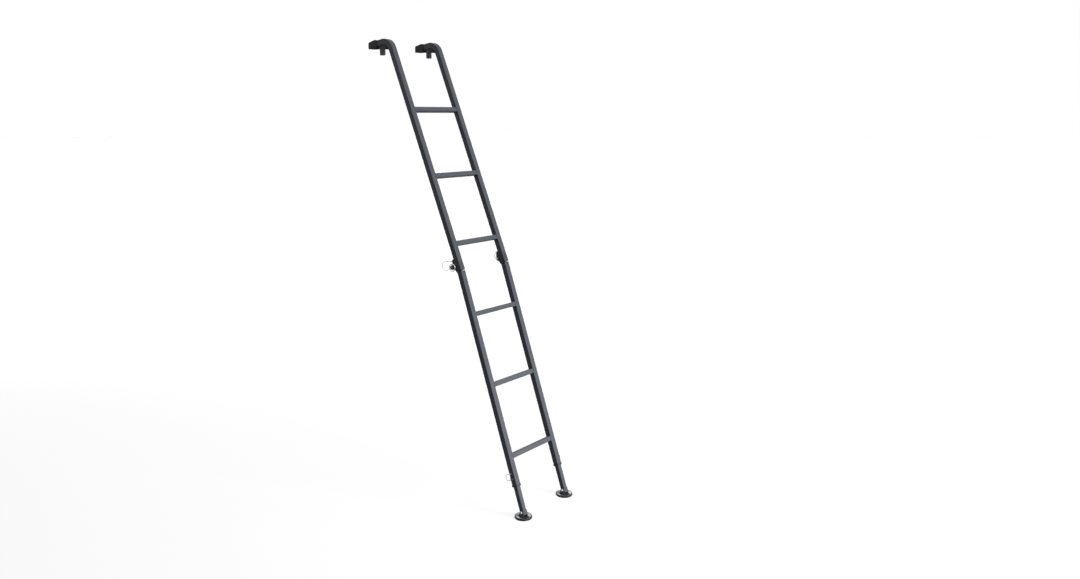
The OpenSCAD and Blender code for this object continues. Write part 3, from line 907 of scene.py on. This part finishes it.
HINGE_KNOB_R, HINGE_FLUTES, LEG_KNOB_R, LEG_FLUTES = 9, 18, 7, 14
HINGE_GRIP = [
    (16.1, 0.84), (16.6, 0.96), (17.3, 1.02), (23.6, 1.03), (25, 0.97), (26.1, 0.88), (26.6, 0.7)
]
LEG_GRIP = [(16.1, 0.8), (16.6, 0.96), (17.2, 1.03), (19.2, 1.03), (20.6, 0.95), (21.6, 0.74)]
LEG_PIN_RISE = -898
DETENT_OUT, DETENT_R = -15.2, 3.5
for side in SIDES:
    upper, lower = half_place("upper_half", side), half_place("lower_half", side)
    keep(f"hinge_grip_{side}", grip(HINGE_KNOB_R, HINGE_FLUTES, HINGE_GRIP), upper, nylon,
         "upper_half")
    leg_grip = moved(grip(LEG_KNOB_R, LEG_FLUTES, LEG_GRIP), 0, RAIL_BACK, LEG_PIN_RISE)
    keep(f"leg_grip_{side}", leg_grip, lower, nylon, "lower_half")
    detents = join([ball(DETENT_OUT, z) for z in (-DETENT_R, DETENT_R)])
    keep(f"detents_{side}", detents, upper, bright_steel, "upper_half")
print("flutes:", HINGE_FLUTES, "on a hinge pin,", LEG_FLUTES, "on a leg pin")

# %% [markdown]
# ## Rubber boots and bumpers
#
# The boot is a block of rubber moulded over the tube's end. It is flat below, where it
# bears the ladder's weight, and slopes with the tube above. A bevelled box would have
# the wrong slope and no grip, so a drawing of its side with grip grooves in the bottom
# edge is pushed across, and the rims are bevelled, because moulded rubber has no sharp
# edges. A bead of rubber lies round the tube at the mouth. A screw with a domed head
# goes into each end of the bumper.

# %% Slabs with soft rims
def soften(shape, edges, offset, segments=3):
    """Bevels some edges."""
    bmesh.ops.bevel(
        shape, geom=edges, offset=offset, segments=segments, profile=0.5, affect="EDGES",
        material=-1,
    )


def slab(drawing, width, rim):
    """A drawing in Y and Z pushed across X, with softened rims."""
    shape = bmesh.new()
    near = shape.faces.new([shape.verts.new((-width / 2, y, z)) for y, z in drawing])
    made = bmesh.ops.extrude_face_region(shape, geom=[near])["geom"]
    bmesh.ops.translate(shape, vec=(width, 0, 0), verts=only(bmesh.types.BMVert, made))
    rims = [edge for edge in shape.edges if abs(edge.verts[0].co.x - edge.verts[1].co.x) < 1e-4]
    soften(shape, rims, rim)
    bmesh.ops.recalc_face_normals(shape, faces=shape.faces)
    return shape


SEAT, BOOT_MOUTH, BOOT_END, BOOT_WIDTH, BOOT_RIM = 21, 42, 92, 33, 0.9
TOP_AT_MOUTH, TOP_AT_END = 58.88, 51.32
ROUND_TOP, ROUND_FOOT = 9, 4
GROOVE, GROOVE_MIDDLES = ((-1.2, 0), (-0.8, 1), (0.8, 1), (1.2, 0)), (54, 61, 68, 75)
grooves = [(y + step, SEAT + deep) for y in GROOVE_MIDDLES for step, deep in GROOVE]
boot_side = [
    *arc(BOOT_END - ROUND_TOP, TOP_AT_END - ROUND_TOP, ROUND_TOP, 0),
    *arc(BOOT_MOUTH + ROUND_TOP, TOP_AT_MOUTH - ROUND_TOP, ROUND_TOP, 90),
    *arc(BOOT_MOUTH + ROUND_FOOT, SEAT + ROUND_FOOT, ROUND_FOOT, 180),
    *grooves,
    *arc(BOOT_END - ROUND_FOOT, SEAT + ROUND_FOOT, ROUND_FOOT, 270),
]
print("boot drawing:", len(boot_side), "points")

# %% Boots and bumper screws
BEND = (-67, -21)
ARM_SLOPE = math.radians(8.6)
ARM = Matrix.Rotation(-ARM_SLOPE, 4, "X") @ Matrix.Rotation(math.radians(90), 4, "Z")
MOUTH_PLACE, MOUTH_HALF, MOUTH_ROUND, MOUTH_BEAD_R = (0, 41.7, 43.75), 11, 2.2, 1.3
mouth = rounded(MOUTH_HALF, MOUTH_HALF, MOUTH_ROUND, steps=7)
BUMPER_REACH, BUMPER_ANGLE = 28.6, math.radians(109)
bumper = (BUMPER_REACH * math.cos(BUMPER_ANGLE), BUMPER_REACH * math.sin(BUMPER_ANGLE))
SCREW_R, SCREW_H, SCREW_OUT = 3.6, 1.6, 11.4
for side in SIDES:
    place = level_place(BEND[0] * MM, BEND[1] * MM, side)
    bead = moved(sweep(mouth, MOUTH_BEAD_R, 10, closed=True), *MOUTH_PLACE, ARM)
    boot = join([slab(boot_side, BOOT_WIDTH, BOOT_RIM), bead])
    keep(f"hook_boot_{side}_moulded", boot, place, rubber, "upper_half",
         [f"hook_boot_{side}"])
    caps = [
        moved(dome(SCREW_R, SCREW_H, 0, steps=24), out, *bumper, turn)
        for out, turn in ((SCREW_OUT, None), (-SCREW_OUT, HALF_TURN))
    ]
    keep(f"bumper_screws_{side}", join(caps), place, cast_black, "upper_half")
print("bead round a boot's mouth:", len(mouth), "steps")

# %% [markdown]
# ## Bushes
#
# A square nylon collar closes the end of each lower rail and guides the leg. One box
# could be cut out of another, but a cut leaves long thin faces that bevel badly. So two
# boxes, one in the other, lose their ends and are bridged there, and then the outer
# edges are bevelled.

# %% Bushes
def collar(outer, bore, height, corner, rim):
    """A square collar round Z with rounded corners and rims."""
    shape = bmesh.new()
    for size in (outer, bore):
        box = bmesh.ops.create_cube(shape, size=1)["verts"]
        bmesh.ops.scale(shape, vec=(size, size, height), verts=box)
    ends = [face for face in shape.faces if abs(face.normal.z) > 0.5]
    bmesh.ops.delete(shape, geom=ends, context="FACES_ONLY")
    for way in (1, -1):
        rims = [edge for edge in shape.edges if all(v.co.z * way > 0 for v in edge.verts)]
        bmesh.ops.bridge_loops(shape, edges=rims)
    posts = [
        edge for edge in shape.edges
        if abs(edge.verts[0].co.z - edge.verts[1].co.z) > 1
        and abs(edge.verts[0].co.x) > bore / 2 + 1
    ]
    soften(shape, posts, corner, segments=6)
    rims = [
        edge for edge in shape.edges
        if edge.verts[0].co.z * edge.verts[1].co.z > 0
        and max(abs(c) for v in edge.verts for c in v.co.xy) > bore / 2 + 1
        and edge.calc_face_angle(0) > 1
    ]
    soften(shape, rims, rim)
    bmesh.ops.recalc_face_normals(shape, faces=shape.faces)
    return shape


BUSH_OUTER, BUSH_BORE, BUSH_HEIGHT, BUSH_CORNER, BUSH_RIM = 28.2, 20.8, 8, 3.1, 0.8
RAIL_END_RISE = -924
for side in SIDES:
    bush = collar(BUSH_OUTER, BUSH_BORE, BUSH_HEIGHT, BUSH_CORNER, BUSH_RIM)
    bush = moved(bush, 0, RAIL_BACK, RAIL_END_RISE - BUSH_HEIGHT / 2)
    keep(f"rail_bush_{side}_moulded", bush, half_place("lower_half", side), nylon, "lower_half",
         [f"rail_bush_{side}"])
print("play of a leg in its bush:", round(BUSH_BORE / 2 - LEG_HALF, 2), "mm on each side")

# %% [markdown]
# ## Soles and ankle bolts
#
# The sole is one turned piece of rubber with a rounded lip, a groove round its side and
# ring grooves below, so its half section is drawn and spun. The bolts are ordinary
# hexagon bolts with washers, so that the foot can be taken off. Their heads and nuts
# are slabs of a six-sided drawing, which gives them the same soft rims as the boots.

# %% Sole drawing
SOLE_BOTTOM, GROOVE_TOP, GROOVE_SLOPE = -24, -23.2, 0.6
RING_GROOVES = ((4, 8), (14, 18), (24, 28))
under = []
for inner, outer in RING_GROOVES:
    under += [(inner, SOLE_BOTTOM), (inner + GROOVE_SLOPE, GROOVE_TOP)]
    under += [(outer - GROOVE_SLOPE, GROOVE_TOP), (outer, SOLE_BOTTOM)]
LIP = [
    (34.8, -24), (35.6, -23.6), (36, -22.8), (36, -20.4), (35.4, -20), (35.4, -19.4), (36, -19),
    (36, -17.4), (35.8, -16.8), (35.2, -16.5), (34.5, -16.6), (34, -17), (34, -18.5),
    (31, -21.5), (0, -21.5),
]
sole_section = [(0, SOLE_BOTTOM), *under, *LIP]
print("sole section:", len(sole_section), "points")

# %% Soles and ankle bolts
HEX_FLATS, HEX_RIM = 10, 0.5
FORK_FACE, WASHER_T = 13.4, 1
WASHER = [(0, 0), (5.9, 0), (6.2, 0.2), (6.2, 0.8), (5.9, WASHER_T), (0, WASHER_T)]
SHANK = [(0, -18.4), (2.5, -18.4), (3, -17.9), (3, 14), (0, 14)]
NUT_END, HEAD_END = -17.6, 17.4


def hexagon(start, end):
    """A hexagonal head or nut round X."""
    reach, angles = HEX_FLATS / math.sqrt(3), [math.radians(60 * i) for i in range(6)]
    drawing = [(reach * math.cos(a), reach * math.sin(a)) for a in angles]
    return moved(slab(drawing, end - start, HEX_RIM), x=(start + end) / 2)


for side in SIDES:
    place = level_place(ANKLE.y, ANKLE.z, side)
    sole = moved(turned(sole_section, steps=96), turn=UPRIGHT)
    keep(f"foot_sole_{side}_turned", sole, place, rubber, f"foot_{side}",
         [f"foot_sole_{side}"])
    under_head = FORK_FACE + WASHER_T
    washers = [moved(turned(WASHER), x=start) for start in (FORK_FACE, -under_head)]
    ends = [hexagon(under_head, HEAD_END), hexagon(NUT_END, -under_head)]
    bolt = join([turned(SHANK), *washers, *ends])
    keep(f"ankle_bolt_{side}_threaded", bolt, place, steel, f"leg_{side}",
         [f"ankle_bolt_{side}"])
print("ankle bolt:", round(SHANK[-1][1] - SHANK[0][1], 1), "mm of shank")

# %% [markdown]
# ## Floor
#
# A plain pale floor carries the ladder's shadow. An opaque floor would come out grey
# and show a horizon. So the camera sees the white world through this one, and that and
# the light that falls on it add up to about white, and only a shadow shows. A leg that
# is pulled out below the floor shows too.

# %% Floor
FLOOR_SIZE, FLOOR_TONE, FLOOR_CLEAR = 60, 0.4, 0.77
FADE_FROM, FADE_TO = math.sqrt(2), 5


def floor_finish():
    floor = Finish("floor")
    x, y, _ = floor.parts(floor.place)
    far = floor.between(x * x + y * y, FADE_FROM**2, FADE_TO**2)
    seen = floor.node("ShaderNodeLightPath", {}, {}, "Is Camera Ray")
    share = seen * (FLOOR_CLEAR + (1 - FLOOR_CLEAR) * far)
    glass = {"Color": floor.blend(share, (0, 0, 0), (1, 1, 1))}
    clear = floor.node("ShaderNodeBsdfTransparent", {}, glass)
    floor.surface(Base_Color=(FLOOR_TONE,) * 3, Roughness=0.95, Specular_IOR_Level=0.0)
    lit = Value(floor, floor.shader.outputs[0])
    both = floor.node("ShaderNodeAddShader", {}, [(0, lit), (1, clear)])
    floor.fill(floor.tree.nodes["Material Output"].inputs["Surface"], both)
    return floor.material


square = bmesh.new()
bmesh.ops.create_grid(square, x_segments=1, y_segments=1, size=FLOOR_SIZE)
sheet = bpy.data.meshes.new("floor")
square.to_mesh(sheet)
square.free()
sheet.materials.append(floor_finish())
floor = bpy.data.objects.new("floor", sheet)
floor.location.z = cad_box[0].z
bpy.context.scene.collection.objects.link(floor)
print("floor at", round(floor.location.z, 4), "m")

# %% [markdown]
# ## Lights
#
# In the picture the fronts of the rails are light and the sides that face left are
# nearly black. One light from the camera would flatten that, so a large soft light
# stands in front and above, on the right, and a smaller one low down. A third one
# behind lights what the picture doesn't show, for the views from the back.

# %% Lights
def softbox(name, place, aim, size, level):
    """A square light that lights a facing surface at about level."""
    lamp = bpy.data.lights.new(name, "AREA")
    lamp.shape, lamp.size = "SQUARE", size
    lamp.energy = level * math.pi**2 * (Vector(place) - Vector(aim)).length_squared
    holder = bpy.data.objects.new(name, lamp)
    holder.location = place
    holder.rotation_euler = (Vector(aim) - Vector(place)).to_track_quat("-Z", "Y").to_euler()
    bpy.context.scene.collection.objects.link(holder)


MIDDLE = (0.14, -0.45, -0.95)
FEET = (0.14, -0.75, -1.5)
softbox("key", (0.9, -4.4, 1.9), MIDDLE, 2.4, 0.5)
softbox("low_front", (1.0, -2.7, -1.3), FEET, 1.2, 0.72)
softbox("back", (1.9, 3.2, 0.9), MIDDLE, 2.4, 0.4)
print("lights:", [light.name for light in bpy.data.lights])

# %% [markdown]
# ## World
#
# A world that is white for everything would light the sides of the rails too much. So
# it is dim for the light that it throws, and white only for what the camera and the
# metal's reflections see.

# %% World
WORLD_LIGHT = 0.12
studio = Finish("studio", bpy.data.worlds, "Background")
rays = [
    studio.node("ShaderNodeLightPath", {}, {}, ray)
    for ray in ("Is Camera Ray", "Is Glossy Ray", "Is Transmission Ray")
]
white = studio.maths("MAXIMUM", rays[0], studio.maths("MAXIMUM", rays[1], rays[2]))
studio.surface(Color=(1, 1, 1), Strength=WORLD_LIGHT + (1 - WORLD_LIGHT) * white)
bpy.context.scene.world = studio.material
bpy.context.scene.view_settings.view_transform = "Standard"
print("view transform:", bpy.context.scene.view_settings.view_transform)

# %% [markdown]
# ## Sizes
#
# The box round the CAD parts and the box round all that shows should agree, because the
# small parts added here stay within the ladder.
